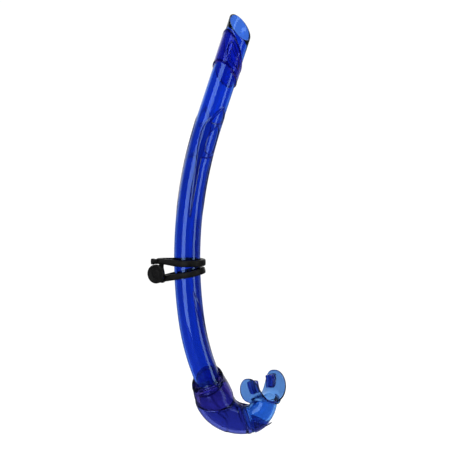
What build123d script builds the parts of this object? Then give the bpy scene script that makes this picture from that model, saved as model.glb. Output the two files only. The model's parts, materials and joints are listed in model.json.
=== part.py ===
"""A plain free-diving snorkel: bowed barrel, slanted tip, swivelling elbow with its mouthpiece, strap keeper.

The barrel's centreline lies in the XZ plane. The origin is the point of that centreline where it stands
upright, +X is the side that the mouthpiece bends to, and +Z runs up to the open tip. Millimetres.
"""
from build123d import *
from math import cos, radians, sin
import os

os.makedirs("parts", exist_ok=True)

# Barrel
barrel_radius = 13.0
bore_radius = 11.0
rim_round = 0.6
tip_lean = 18.3          # the tip's angle from upright
knee_lean = 8.1          # the angle where the long bow gives way to the tighter one
foot_lean = 19.5         # the angle of the straight foot that stands in the elbow's socket
bow_radius = 440.0
lower_bow_radius = 230.0
tip_length = 108.0       # straight stretch at the top, before the slanted cut
foot_length = 25.0

# Cuff and trim moulded onto the barrel
cuff_radius = 13.8
trim_radius = 13.5
tip_mouth_height = 95.6  # heights along the tip's axis, from the end of its straight stretch
cuff_top_height = 71.4
cuff_bottom_height = 46.7
mouth_slope = (-0.56, 0.61)     # rise of each slanted edge towards the frame's X and Y
cuff_top_slope = (-1.04, -0.91)
cuff_bottom_slope = (-0.47, -0.65)
groove_depth = 0.5
overrun = 1.0            # how far a cutting shape passes what it cuts

# Socket and elbow
socket_radius = 13.06
socket_depth = 25.6
lip_height = 12.8        # heights along the foot's axis, from the top of its straight stretch
seam_height = 35.4
lip_slope = (-0.11, 0.62)
seam_slope = (0.25, 0.565)
elbow_bend_radius = 31.7
throat_bend_radius = 20.0
throat_turn = 98.0
band_width = 4.6         # of the band between elbow and neck
band_lead = 1.5          # how far the band starts before the throat's bend
band_slope = (-0.19, -0.34)
leaf_point = (74, 0, -159)
leaf_slope = 0.29
ring_radius = 14.3       # retaining ring, sprung into the barrel's groove
ring_width = 3.0
ring_height = 18.5
ring_clearance = 0.3

# Mouthpiece
mouth_twist = 50.0       # the bite line's angle from the barrel's plane
flange_radius = 21.5
flange_thickness = 2.2
flange_base = -3.0       # heights along the neck's axis, from the end of its bend
flange_top = 22.5
flange_half_height = 15.0
flange_corner = 12.0
tab_reach = 8.0
tab_thickness = 4.0
tab_ridge = 2.6
tab_ridge_height = 10.0
tab_low = 7.0
tab_high = 20.0

# Strap keeper
keeper_clearance = 0.3
loop_thickness = 2.8
loop_height = 5.6
upper_loop_z = -3.2
lower_loop_z = -12.9
lower_loop_tilt = 13.0
bridge_x = -25.0
bridge_width = 5.4
bridge_depth = 10.0
bridge_low = -22.0
bridge_high = 0.0
bridge_chamfer = 0.8
hook_radius = 2.2
hook_length = 11.0
button_z = -13.5
button_yaw = 30.0        # how far to the side of square on the button faces
button_radius = 9.4
button_back = 9.4        # distances along the stud, from the bridge's middle
button_face = 12.8
button_dish = 0.6
button_rim = 2.0
button_round = 1.0
stud_radius = 2.4
stud_end = 11.6
stud_clearance = 0.05


def slanted(frame, height, slope):
    """A plane across a frame's Z axis at a height, rising by the given slopes towards its X and Y."""
    normal = frame.z_dir - frame.x_dir * slope[0] - frame.y_dir * slope[1]
    return Plane(origin=frame.origin + frame.z_dir * height, x_dir=frame.x_dir, z_dir=normal)


def across(path, distance):
    """The plane square to a path, at a distance along it."""
    heading = path.tangent_at(distance, PositionMode.LENGTH)
    return Plane(origin=path.position_at(distance, PositionMode.LENGTH), x_dir=(0, 1, 0), z_dir=heading)


def loft_along(path, stations):
    """A round solid along a path, through (distance, radius) stations."""
    with BuildPart() as body:
        for distance, radius in stations:
            with BuildSketch(across(path, distance)):
                Circle(radius)
        loft()
    return body.part


def write(builder, name):
    """Label a finished piece and write its file."""
    builder.part.label = name
    export_step(builder.part, f"parts/{name}.step")


# Centreline of the barrel, from the open tip down
tip_joint = Vector(bow_radius * (1 - cos(radians(tip_lean))), 0, bow_radius * sin(radians(tip_lean)))
tip_axis = Vector(sin(radians(tip_lean)), 0, cos(radians(tip_lean)))
tip_end = tip_joint + tip_axis * tip_length
with BuildLine(Plane.XZ) as barrel_line:
    Line((tip_end.X, tip_end.Z), (tip_joint.X, tip_joint.Z))
    bow = JernArc((tip_joint.X, tip_joint.Z), (-tip_axis.X, -tip_axis.Z), bow_radius, tip_lean + knee_lean)
    lower_bow = JernArc(bow @ 1, bow % 1, lower_bow_radius, foot_lean - knee_lean)
    foot_run = Line(lower_bow @ 1, lower_bow @ 1 + (lower_bow % 1) * foot_length)

# Centreline of the socket, elbow and neck, from the top of the barrel's foot
with BuildLine(Plane.XZ) as lower_line:
    socket_run = Line(lower_bow @ 1, lower_bow @ 1 + (lower_bow % 1) * seam_height)
    elbow_bend = JernArc(socket_run @ 1, socket_run % 1, elbow_bend_radius, 90 - foot_lean)
    throat_bend = JernArc(elbow_bend @ 1, elbow_bend % 1, throat_bend_radius, throat_turn)
barrel_path = Wire(barrel_line.edges())
lower_path = Wire(lower_line.edges())
throat_start = seam_height + elbow_bend.length
neck_end = throat_start + throat_bend.length

tip_frame = Plane(origin=tip_joint, x_dir=(tip_axis.Z, 0, -tip_axis.X), z_dir=tip_axis)
foot_axis = (foot_run @ 1 - foot_run @ 0).normalized()
foot_frame = Plane(origin=foot_run @ 0, x_dir=(-foot_axis.Z, 0, foot_axis.X), z_dir=foot_axis)
mouth_plane = slanted(tip_frame, tip_mouth_height, mouth_slope)
cuff_top_plane = slanted(tip_frame, cuff_top_height, cuff_top_slope)
cuff_bottom_plane = slanted(tip_frame, cuff_bottom_height, cuff_bottom_slope)
lip_plane = slanted(foot_frame, lip_height, lip_slope)
seam_plane = slanted(foot_frame, seam_height, seam_slope)

# Barrel: a bowed tube, cut on the slant at its open tip and grooved at its foot for the retaining ring,
# then divided where its curve changes into its straight tip, its long bow and its foot
knee_plane = across(barrel_path, tip_length + bow.length)
with BuildPart() as barrel:
    with BuildSketch(across(barrel_path, 0)):
        Circle(barrel_radius)
        Circle(bore_radius, mode=Mode.SUBTRACT)
    sweep(path=barrel_path)
    split(bisect_by=mouth_plane, keep=Keep.BOTTOM)
    fillet(barrel.edges().group_by(Axis.Z)[-1], rim_round)
    with BuildSketch(foot_frame.offset(ring_height)):
        Circle(barrel_radius + overrun)
        Circle(barrel_radius - groove_depth, mode=Mode.SUBTRACT)
    extrude(amount=ring_width, mode=Mode.SUBTRACT)

with BuildPart() as barrel_tip:
    add(barrel.part)
    split(bisect_by=tip_frame, keep=Keep.TOP)
write(barrel_tip, "barrel_tip")

with BuildPart() as barrel_bow:
    add(barrel.part)
    split(bisect_by=tip_frame, keep=Keep.BOTTOM)
    split(bisect_by=knee_plane, keep=Keep.BOTTOM)
write(barrel_bow, "barrel_bow")

with BuildPart() as barrel_foot:
    add(barrel.part)
    split(bisect_by=knee_plane, keep=Keep.TOP)
write(barrel_foot, "barrel_foot")

# Cuff: a sleeve round the tip between two slanted edges, with a leaf-shaped window at its front
with BuildPart() as tip_cuff:
    with BuildSketch(tip_frame):
        Circle(cuff_radius)
        Circle(barrel_radius, mode=Mode.SUBTRACT)
    extrude(amount=tip_length)
    split(bisect_by=cuff_top_plane, keep=Keep.BOTTOM)
    split(bisect_by=cuff_bottom_plane, keep=Keep.TOP)
    with BuildSketch(Plane.XZ):
        with BuildLine():
            window_left = Spline((44.3, 215.8), (40.6, 209), (39.8, 202), (43.8, 194), (50.2, 188.6))
            Spline(window_left @ 1, (50.6, 201), window_left @ 0)
        make_face()
    extrude(amount=cuff_radius + overrun, mode=Mode.SUBTRACT)
write(tip_cuff, "tip_cuff")

# Leaf set in the cuff's window
with BuildPart() as tip_leaf:
    with BuildSketch(tip_frame):
        Circle(trim_radius)
        Circle(barrel_radius, mode=Mode.SUBTRACT)
    extrude(amount=tip_length)
    with BuildSketch(Plane.XZ):
        with BuildLine():
            leaf_left = Spline((44.6, 208.4), (42.3, 202), (44.4, 196), (49.2, 190.6))
            Spline(leaf_left @ 1, (48.2, 201), leaf_left @ 0)
        make_face()
    extrude(amount=cuff_radius + overrun, mode=Mode.INTERSECT)
write(tip_leaf, "tip_leaf")

# Retaining ring
with BuildPart() as retaining_ring:
    with BuildSketch(foot_frame.offset(ring_height)):
        Circle(ring_radius)
        Circle(barrel_radius - groove_depth, mode=Mode.SUBTRACT)
    extrude(amount=ring_width)
write(retaining_ring, "retaining_ring")

# Lower unit: one tapering shell along the bend, divided into its pieces below
outer_stations = [
    (0, 13.9), (10, 15.0), (18, 17.0), (27, 18.6), (seam_height, 19.2), (seam_height + 9, 18.4),
    (seam_height + 22, 16.6), (throat_start - 6, 15.3), (throat_start + 6, 14.3),
    (throat_start + 16, 13.4), (throat_start + 25, 12.8), (neck_end, 12.6),
]
passage_stations = [
    (socket_depth - 0.5, 13.0), (seam_height, 15.4), (seam_height + 12, 14.6), (seam_height + 24, 13.2),
    (throat_start, 11.6), (throat_start + 10, 10.8), (throat_start + 22, 10.4), (neck_end, 10.4),
]
with BuildPart() as shell:
    add(loft_along(lower_path, outer_stations))
    add(loft_along(lower_path, passage_stations), mode=Mode.SUBTRACT)
    with BuildSketch(foot_frame.offset(-overrun)):
        Circle(socket_radius)
    extrude(amount=socket_depth + overrun, mode=Mode.SUBTRACT)
    with BuildSketch(foot_frame.offset(ring_height - ring_clearance)):
        Circle(ring_radius + ring_clearance)
    extrude(amount=ring_width + 2 * ring_clearance, mode=Mode.SUBTRACT)

ring_1_plane = slanted(across(lower_path, throat_start - band_lead), 0, band_slope)
ring_2_plane = ring_1_plane.offset(band_width)
leaf_plane = Plane(origin=leaf_point, x_dir=(0, 1, 0), z_dir=(leaf_slope, 0, 1))

# Cuff: the dark socket over the barrel's foot
with BuildPart() as base_cuff:
    add(shell.part)
    split(bisect_by=Plane(origin=elbow_bend.arc_center, z_dir=(1, 0, 0)), keep=Keep.BOTTOM)
    split(bisect_by=seam_plane, keep=Keep.BOTTOM)
    split(bisect_by=lip_plane, keep=Keep.TOP)
write(base_cuff, "base_cuff")

# Elbow
with BuildPart() as elbow:
    add(shell.part)
    split(bisect_by=ring_1_plane, keep=Keep.BOTTOM)
    split(bisect_by=seam_plane, keep=Keep.TOP)
write(elbow, "elbow")

# Band between the elbow and the neck
with BuildPart() as neck_band:
    add(shell.part)
    split(bisect_by=Plane.XY.offset(elbow_bend.arc_center.Z), keep=Keep.BOTTOM)
    split(bisect_by=ring_1_plane, keep=Keep.TOP)
    split(bisect_by=ring_2_plane, keep=Keep.BOTTOM)
write(neck_band, "neck_band")

# Leaf: the elbow's darker compound, running on under the neck
with BuildPart() as neck_leaf:
    add(shell.part)
    split(bisect_by=ring_2_plane, keep=Keep.TOP)
    split(bisect_by=leaf_plane, keep=Keep.BOTTOM)
write(neck_leaf, "neck_leaf")

# Mouthpiece: the neck and a flange curved to lie behind the lips
neck_axis = lower_path.tangent_at(1)
neck_side = Vector(neck_axis.Z, 0, -neck_axis.X)
bite_line = neck_side * cos(radians(mouth_twist)) + Vector(0, 1, 0) * sin(radians(mouth_twist))
mouth_frame = Plane(origin=lower_path.position_at(1), x_dir=bite_line, z_dir=neck_axis)
bite_plane = Plane(origin=mouth_frame.origin, x_dir=bite_line, z_dir=bite_line.cross(neck_axis))
side_plane = Plane(origin=mouth_frame.origin, x_dir=bite_plane.z_dir, z_dir=bite_plane.z_dir.cross(neck_axis))
arch_centre = flange_base + flange_radius


def arch(radius):
    """A prism over the arch of the bite: a half circle with straight sides up to the flange's top."""
    with BuildPart() as prism:
        with BuildSketch(bite_plane):
            with Locations((0, arch_centre)):
                Circle(radius)
            with Locations((0, (arch_centre + flange_top) / 2)):
                Rectangle(2 * radius, flange_top - arch_centre)
        extrude(amount=flange_half_height, both=True)
    return prism.part


outer_arch = arch(flange_radius)
inner_arch = arch(flange_radius - flange_thickness)
with BuildPart() as flange:
    add(outer_arch)
    add(inner_arch, mode=Mode.SUBTRACT)
    with BuildSketch(side_plane):
        with Locations((0, flange_top - flange_radius)):
            RectangleRounded(2 * flange_half_height, 2 * flange_radius, flange_corner)
    extrude(amount=2 * flange_radius, both=True, mode=Mode.INTERSECT)
with BuildPart() as mouthpiece:
    add(shell.part)
    split(bisect_by=ring_2_plane, keep=Keep.TOP)
    split(bisect_by=leaf_plane, keep=Keep.TOP)
    add(flange.part)
    add(loft_along(lower_path, passage_stations[-2:]), mode=Mode.SUBTRACT)
    with BuildSketch(mouth_frame.offset(flange_base - overrun)):
        Circle(passage_stations[-1][1])
    extrude(amount=2 * (flange_thickness + overrun), mode=Mode.SUBTRACT)
write(mouthpiece, "mouthpiece")

# Bite tabs: a lug inside each wing of the flange, with a ridge for the teeth to hold
for side, name in ((-1, "bite_tab_near"), (1, "bite_tab_far")):
    inner_face = flange_radius - flange_thickness
    with BuildPart() as bite_tab:
        with BuildSketch(bite_plane):
            with Locations((side * (inner_face - tab_reach / 2), (tab_low + tab_high) / 2)):
                Rectangle(tab_reach, tab_high - tab_low)
        extrude(amount=tab_thickness / 2, both=True)
        with BuildSketch(bite_plane):
            with Locations((side * (inner_face - tab_reach + tab_ridge / 2), (tab_low + tab_high) / 2)):
                Rectangle(tab_ridge, tab_high - tab_low)
        extrude(amount=tab_ridge_height / 2, both=True)
        add(inner_arch, mode=Mode.INTERSECT)
    write(bite_tab, name)

# Trim: a raised spine down the front of the barrel, with two leaf-shaped windows above its long tail
with BuildPart() as barrel_trim:
    with BuildSketch(across(barrel_path, 0)):
        Circle(trim_radius)
        Circle(barrel_radius, mode=Mode.SUBTRACT)
    sweep(path=barrel_path)
    with BuildSketch(Plane.XZ):
        with BuildLine():
            Spline((35.5, 151.5), (20, 137), (14, 126), (10.5, 105), (6.8, 80), (2.8, 44))
            Line((2.8, 44), (4.2, 44))
            Spline((4.2, 44), (9.5, 80), (14.5, 103))
            Line((14.5, 103), (19, 101))
            Line((19, 101), (46, 96))
            Line((46, 96), (50, 140))
            Line((50, 140), (35.5, 151.5))
        make_face()
    extrude(amount=trim_radius + overrun, mode=Mode.INTERSECT)
    with BuildSketch(Plane.XZ):
        with BuildLine():
            Spline((34, 148), (27, 141), (23, 136.6))
            Line((23, 136.6), (34.6, 134.4))
            Line((34.6, 134.4), (34, 148))
        make_face()
        with BuildLine():
            Spline((31, 132), (24, 128), (19.5, 118), (17.5, 108), (21, 104.5))
            Spline((21, 104.5), (27, 112), (31, 132))
        make_face()
    extrude(amount=trim_radius + overrun, mode=Mode.SUBTRACT)
write(barrel_trim, "barrel_trim")

# Strap keeper: two loops round the barrel, drawn together at a bridge
with BuildPart() as barrel_room:
    with BuildSketch(across(barrel_path, 0)):
        Circle(barrel_radius + keeper_clearance)
    sweep(path=barrel_path)

with BuildPart() as keeper_bridge:
    with BuildSketch(Plane.XY.offset(bridge_low)):
        with Locations((bridge_x, 0)):
            RectangleRounded(bridge_width, bridge_depth, bridge_width / 2 - 0.1)
    extrude(amount=bridge_high - bridge_low)
    bridge_ends = keeper_bridge.edges().group_by(Axis.Z)
    chamfer(bridge_ends[-1] + bridge_ends[0], bridge_chamfer)
write(keeper_bridge, "keeper_bridge")


def keeper_loop(plane):
    """A band pulled to a drop shape, from round the barrel to round the bridge."""
    with BuildPart() as loop:
        with BuildSketch(plane) as outline:
            Circle(barrel_radius + keeper_clearance + loop_thickness)
            with Locations((bridge_x, 0)):
                Circle(bridge_depth / 2)
            make_hull(outline.edges())
        extrude(amount=loop_height / 2, both=True)
        fillet(loop.edges(), rim_round)
        with BuildSketch(plane) as inside:
            Circle(barrel_radius + keeper_clearance)
            with Locations((bridge_x + bridge_width / 2 + overrun, 0)):
                Circle(bridge_depth / 2 - loop_thickness + overrun)
            make_hull(inside.edges())
        extrude(amount=loop_height, both=True, mode=Mode.SUBTRACT)
        add(barrel_room.part, mode=Mode.SUBTRACT)
        add(keeper_bridge.part, mode=Mode.SUBTRACT)
    return loop


tilt = radians(lower_loop_tilt)
upper_loop = keeper_loop(Plane.XY.offset(upper_loop_z))
write(upper_loop, "keeper_upper_loop")
lower_loop = keeper_loop(Plane(origin=(0, 0, lower_loop_z), x_dir=(cos(tilt), 0, sin(tilt)),
                               z_dir=(-sin(tilt), 0, cos(tilt))))
write(lower_loop, "keeper_lower_loop")

# Hook: the bar at the bridge's top
with BuildPart() as keeper_hook:
    with BuildSketch(Plane(origin=(bridge_x, 0, bridge_high - hook_radius), z_dir=(-1, 0, 0))):
        Circle(hook_radius)
    extrude(amount=hook_length)
    fillet(keeper_hook.edges().group_by(Axis.X)[0], hook_radius / 2)
    add(keeper_bridge.part, mode=Mode.SUBTRACT)
    add(upper_loop.part, mode=Mode.SUBTRACT)
write(keeper_hook, "keeper_hook")

# Stud and button
yaw = radians(button_yaw)
button_frame = Plane(origin=(bridge_x, 0, button_z), x_dir=(0, 0, 1), z_dir=(-sin(yaw), -cos(yaw), 0))
with BuildPart() as keeper_stud:
    with BuildSketch(button_frame):
        Circle(stud_radius)
    extrude(amount=stud_end)
    add(keeper_bridge.part, mode=Mode.SUBTRACT)
    add(lower_loop.part, mode=Mode.SUBTRACT)
write(keeper_stud, "keeper_stud")

with BuildPart() as keeper_button:
    with BuildSketch(button_frame.offset(button_back)):
        Circle(button_radius)
    extrude(amount=button_face - button_back)
    fillet(keeper_button.edges(), button_round)
    with BuildSketch(button_frame.offset(button_face - button_dish)):
        Circle(button_radius - button_rim)
    extrude(amount=button_dish, mode=Mode.SUBTRACT)
    with BuildSketch(button_frame):
        Circle(stud_radius + stud_clearance)
    extrude(amount=stud_end + stud_clearance, mode=Mode.SUBTRACT)
write(keeper_button, "keeper_button")
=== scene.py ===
"""Looks of a free-diving snorkel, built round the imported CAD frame. Metres, in the CAD's own frame."""
import json
import math

import bmesh
import bpy
import numpy as np
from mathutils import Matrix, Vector


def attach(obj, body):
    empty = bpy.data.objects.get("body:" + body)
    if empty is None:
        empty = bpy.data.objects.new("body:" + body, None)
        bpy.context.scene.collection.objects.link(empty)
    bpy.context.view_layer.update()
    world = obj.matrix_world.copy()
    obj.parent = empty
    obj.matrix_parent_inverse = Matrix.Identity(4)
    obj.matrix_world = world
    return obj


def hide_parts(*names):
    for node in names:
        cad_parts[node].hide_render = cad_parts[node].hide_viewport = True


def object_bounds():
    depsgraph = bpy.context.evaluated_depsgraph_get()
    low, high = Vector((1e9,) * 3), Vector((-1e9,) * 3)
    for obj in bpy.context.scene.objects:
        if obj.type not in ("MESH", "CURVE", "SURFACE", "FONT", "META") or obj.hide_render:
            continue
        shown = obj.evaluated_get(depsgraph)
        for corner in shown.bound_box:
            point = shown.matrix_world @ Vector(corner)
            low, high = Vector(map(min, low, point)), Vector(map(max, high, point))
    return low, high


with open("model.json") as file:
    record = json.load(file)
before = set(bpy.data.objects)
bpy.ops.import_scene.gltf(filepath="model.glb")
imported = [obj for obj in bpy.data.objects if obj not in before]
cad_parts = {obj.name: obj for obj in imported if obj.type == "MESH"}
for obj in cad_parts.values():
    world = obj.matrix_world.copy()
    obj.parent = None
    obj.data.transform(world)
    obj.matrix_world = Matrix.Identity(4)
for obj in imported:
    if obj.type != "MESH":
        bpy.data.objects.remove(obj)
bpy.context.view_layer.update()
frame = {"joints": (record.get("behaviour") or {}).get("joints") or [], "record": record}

MM = 0.001
RECORD = frame["record"]
JOINTS = {joint["name"]: joint for joint in frame["joints"]}
MOUNTS = {mount["name"]: mount for mount in RECORD["mounts"]}

# ---------------- node tools


def new_material(name):
    """An empty node material, its Principled shader and its tree."""
    material = bpy.data.materials.new(name)
    material.use_nodes = True
    tree = material.node_tree
    return material, tree.nodes["Principled BSDF"], tree


def add_node(tree, kind, **inputs):
    """A node with its plain input values set."""
    node = tree.nodes.new(kind)
    for key, value in inputs.items():
        node.inputs[key.replace("_", " ")].default_value = value
    return node


def colour_mix(tree, factor, first, second):
    """A colour that runs from the first to the second, each a colour or a socket, as the factor rises."""
    mix = tree.nodes.new("ShaderNodeMix")
    mix.data_type = "RGBA"
    for name, colour in (("A", first), ("B", second)):
        if isinstance(colour, bpy.types.NodeSocket):
            tree.links.new(colour, mix.inputs[name])
        else:
            mix.inputs[name].default_value = (*colour, 1)
    tree.links.new(factor, mix.inputs["Factor"])
    return mix.outputs["Result"]

# ---------------- camera, floor and light


def look_at(thing, target):
    """Turn a camera or light so that it faces a point."""
    direction = Vector(target) - thing.location
    thing.rotation_euler = direction.to_track_quat("-Z", "Y").to_euler()


def make_camera(middle=(0.0375, 0.0, 0.0342), elevation=5.5, distance=2.0, view_width=0.4455):
    """The camera stands square to the barrel's plane, a little above it."""
    data = bpy.data.cameras.new("camera")
    data.sensor_width = 36.0
    data.lens = data.sensor_width * distance / view_width
    camera = bpy.data.objects.new("camera", data)
    bpy.context.scene.collection.objects.link(camera)
    rise = math.radians(elevation)
    camera.location = Vector(middle) + distance * Vector((0, -math.cos(rise), math.sin(rise)))
    look_at(camera, middle)
    bpy.context.scene.camera = camera


DIM_GREY = (0.10, 0.11, 0.13)


def pale_unless_reflected(tree, pale):
    """A near white, which turns to a dim grey in reflections, as in a studio with black surroundings."""
    path = tree.nodes.new("ShaderNodeLightPath")
    reflected = tree.nodes.new("ShaderNodeMath")
    reflected.operation = "SUBTRACT"
    reflected.use_clamp = True
    tree.links.new(path.outputs["Is Glossy Ray"], reflected.inputs[0])
    tree.links.new(path.outputs["Is Transmission Ray"], reflected.inputs[1])
    return colour_mix(tree, reflected.outputs["Value"], (pale, pale, pale), DIM_GREY)


def make_floor(size=30.0, gap=0.3, pale=0.99):
    """A pale floor, well below the held object."""
    half = size / 2
    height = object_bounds()[0][2] - gap
    mesh = bpy.data.meshes.new("floor")
    corners = [(-half, -half, height), (half, -half, height), (half, half, height), (-half, half, height)]
    mesh.from_pydata(corners, [], [(0, 1, 2, 3)])
    floor = bpy.data.objects.new("floor", mesh)
    bpy.context.scene.collection.objects.link(floor)
    material, shader, tree = new_material("floor")
    tree.links.new(pale_unless_reflected(tree, pale), shader.inputs["Base Color"])
    shader.inputs["Roughness"].default_value = 0.9
    shader.inputs["Specular IOR Level"].default_value = 0.0
    floor.data.materials.append(material)


def make_area_light(name, location, target, size, power):
    """A soft rectangular light that faces a point."""
    data = bpy.data.lights.new(name, "AREA")
    data.shape = "RECTANGLE"
    data.size, data.size_y = size
    data.energy = power
    light = bpy.data.objects.new(name, data)
    bpy.context.scene.collection.objects.link(light)
    light.location = location
    look_at(light, target)


def make_world():
    """White surroundings to look at and through; reflections see a white backdrop in a dim studio."""
    world = bpy.data.worlds.new("studio")
    bpy.context.scene.world = world
    world.use_nodes = True
    tree = world.node_tree
    background = tree.nodes["Background"]
    background.inputs["Strength"].default_value = 1.04
    direction = tree.nodes.new("ShaderNodeTexCoord")
    parts = tree.nodes.new("ShaderNodeSeparateXYZ")
    tree.links.new(direction.outputs["Generated"], parts.inputs["Vector"])
    backdrop = add_node(tree, "ShaderNodeMapRange", From_Min=0.35, From_Max=0.75)
    tree.links.new(parts.outputs["Y"], backdrop.inputs["Value"])
    dim_studio = pale_unless_reflected(tree, 1.0)
    surroundings = colour_mix(tree, backdrop.outputs["Result"], dim_studio, (1.0, 1.0, 1.0))
    tree.links.new(surroundings, background.inputs["Color"])


make_camera()
make_floor()
make_world()
LIGHT_TARGET = (0.03, 0, 0.03)
make_area_light("softbox_left", (-0.75, -1.15, 0.35), LIGHT_TARGET, size=(0.85, 1.6), power=19)
make_area_light("softbox_right", (1.0, -0.55, 0.35), LIGHT_TARGET, size=(0.42, 1.5), power=8)
make_area_light("softbox_top", (0.2, -0.2, 1.6), LIGHT_TARGET, size=(1.2, 1.2), power=12)
bpy.context.scene.view_settings.view_transform = "Standard"
bpy.context.scene.cycles.transmission_bounces = 24
bpy.context.scene.cycles.max_bounces = 24
bpy.context.scene.cycles.sample_clamp_indirect = 4.0

# ---------------- the barrel's centreline, from the frame

BORE_RADIUS = MOUNTS["tip_bore"]["dims"]["r_mm"] * MM
BARREL_WALL = 2.0 * MM
BARREL_RADIUS = BORE_RADIUS + BARREL_WALL
BOW_CENTRE = Vector(JOINTS["keeper_slide"]["pos_m"])
BOW_RADIUS = BOW_CENTRE.x
FOOT = Vector(JOINTS["elbow_swivel"]["pos_m"])
FOOT_AXIS = -Vector(JOINTS["elbow_swivel"]["axis"])
TIP_AXIS = Vector(MOUNTS["tip_bore"]["axis"])
TIP_LEAN = math.atan2(TIP_AXIS.x, TIP_AXIS.z)
FOOT_LEAN = math.atan2(FOOT_AXIS.x, -FOOT_AXIS.z)
KNEE_LEAN = math.radians(8.1)
TIP_LENGTH = 108 * MM
FOOT_LENGTH = 25 * MM
SEAM_HEIGHT = 35.4 * MM
ELBOW_BEND = 31.7 * MM
THROAT_BEND = 20 * MM
THROAT_TURN = math.radians(98)
BACK = Vector((0, 1, 0))


class Centreline:
    """Straight runs and arcs in the XZ plane, followed by length."""

    def __init__(self, start, heading):
        self.runs = []
        self.end = Vector(start)
        self.heading = heading
        self.length = 0.0

    def add(self, length, turn=0.0):
        """Go on for a length while turning by an angle, towards +X going down."""
        self.runs.append((self.length, length, self.end.copy(), self.heading, turn))
        self.end, self.heading = self._ahead(self.end, self.heading, length, turn, 1.0)
        self.length += length
        return self

    @staticmethod
    def _ahead(start, heading, length, turn, share):
        if turn == 0.0:
            step = Vector((math.cos(heading), 0, math.sin(heading))) * length * share
            return start + step, heading
        radius = length / turn
        there = heading + turn * share
        step = Vector((math.sin(there) - math.sin(heading), 0, math.cos(heading) - math.cos(there)))
        return start + step * radius, there

    def at(self, distance):
        """The point, the heading, and the unit vector across to the side, at a distance."""
        run = self.runs[0]
        for candidate in self.runs:
            if candidate[0] <= distance:
                run = candidate
        start_distance, length, start, heading, turn = run
        point, there = self._ahead(start, heading, length, turn, (distance - start_distance) / length)
        along = Vector((math.cos(there), 0, math.sin(there)))
        side = Vector((-along.z, 0, along.x))
        return point, along, side


def arc(radius, turn):
    """A run's length and turn for an arc."""
    return radius * turn, turn


tip_joint = BOW_CENTRE + BOW_RADIUS * Vector((-math.cos(TIP_LEAN), 0, math.sin(TIP_LEAN)))
knee = BOW_CENTRE + BOW_RADIUS * Vector((-math.cos(KNEE_LEAN), 0, -math.sin(KNEE_LEAN)))
lower_bow_radius = (knee.z - FOOT.z) / (math.sin(FOOT_LEAN) - math.sin(KNEE_LEAN))
barrel_line = Centreline(tip_joint + TIP_AXIS * TIP_LENGTH, -math.pi / 2 - TIP_LEAN)
barrel_line.add(TIP_LENGTH)
barrel_line.add(*arc(BOW_RADIUS, TIP_LEAN + KNEE_LEAN))
barrel_line.add(*arc(lower_bow_radius, FOOT_LEAN - KNEE_LEAN))
FOOT_START = barrel_line.length
barrel_line.add(FOOT_LENGTH)

lower_line = Centreline(FOOT, FOOT_LEAN - math.pi / 2)
lower_line.add(SEAM_HEIGHT)
lower_line.add(*arc(ELBOW_BEND, math.pi / 2 - FOOT_LEAN))
THROAT_START = lower_line.length
lower_line.add(*arc(THROAT_BEND, THROAT_TURN))
NECK_END = lower_line.length

# ---------------- mesh tools

LIP_STEPS = 4


def finish_piece(name, vertices, faces, body, nodes, material, shades=None):
    """A smooth mesh with its faces turned outward, hung on its body in place of its CAD nodes.

    shades holds one number for each point, from 0 to 1, by which the material deepens there:
    painted shade along edges and outlines, and some tone of the plastic's own.
    """
    mesh = bpy.data.meshes.new(name)
    mesh.from_pydata(vertices, [], faces)
    if shades is not None:
        mesh.attributes.new("shade", "FLOAT", "POINT").data.foreach_set("value", shades)
    work = bmesh.new()
    work.from_mesh(mesh)
    bmesh.ops.recalc_face_normals(work, faces=work.faces)
    if work.calc_volume(signed=True) < 0:
        bmesh.ops.reverse_faces(work, faces=work.faces)
    work.to_mesh(mesh)
    work.free()
    mesh.shade_smooth()
    piece = bpy.data.objects.new(name, mesh)
    bpy.context.scene.collection.objects.link(piece)
    mesh.materials.append(material)
    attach(piece, body)
    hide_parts(*nodes)


def make_piece(name, rings, body, nodes, material, shades=None, capped=False):
    """A closed skin through rings of points; the last joins the first, or flat caps close both of them."""
    vertices = [tuple(point) for ring in rings for point in ring]
    count = len(rings[0])
    last = len(vertices) - count
    faces = []
    for below in range(0, last if capped else len(vertices), count):
        above = (below + count) % len(vertices)
        for j in range(count):
            k = (j + 1) % count
            faces.append((below + j, below + k, above + k, above + j))
    if capped:
        faces += [tuple(range(count)), tuple(range(last, last + count))]
    finish_piece(name, vertices, faces, body, nodes, material, shades)


def sleeve(name, line, start, end, outer, inner, shares, body, nodes, slot, material, shade, **detail):
    """A sleeve as a piece; shade deepens its outer skin at a (distance, turn), with painted shade along edges
    and outlines.
    """
    rings, places = sleeve_rings(line, start, end, outer, inner, shares, **detail)
    shades = [shade(*place) for place in places]
    shades += [0.0] * (len(rings) * len(rings[0]) - len(places))
    make_piece(name, rings, body, nodes, material, shades)


def on_line(line, distance, radius, turn):
    """A point at a distance along a line and a radius from it.

    Turn 0 is the line's own side, which is +X on the barrel, and 90 degrees is its back.
    """
    point, _, side = line.at(distance)
    return point + radius * (math.cos(turn) * side + math.sin(turn) * BACK)


def cut_distance(line, low, high, radius_at, turn, plane):
    """Where a wall's line crosses a plane, found by halving."""
    origin, normal = plane
    side_low = (on_line(line, low, radius_at(low, turn), turn) - origin).dot(normal)
    for _ in range(24):
        middle = (low + high) / 2
        here = (on_line(line, middle, radius_at(middle, turn), turn) - origin).dot(normal)
        if (here > 0) == (side_low > 0):
            low = middle
        else:
            high = middle
    return (low + high) / 2


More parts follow.
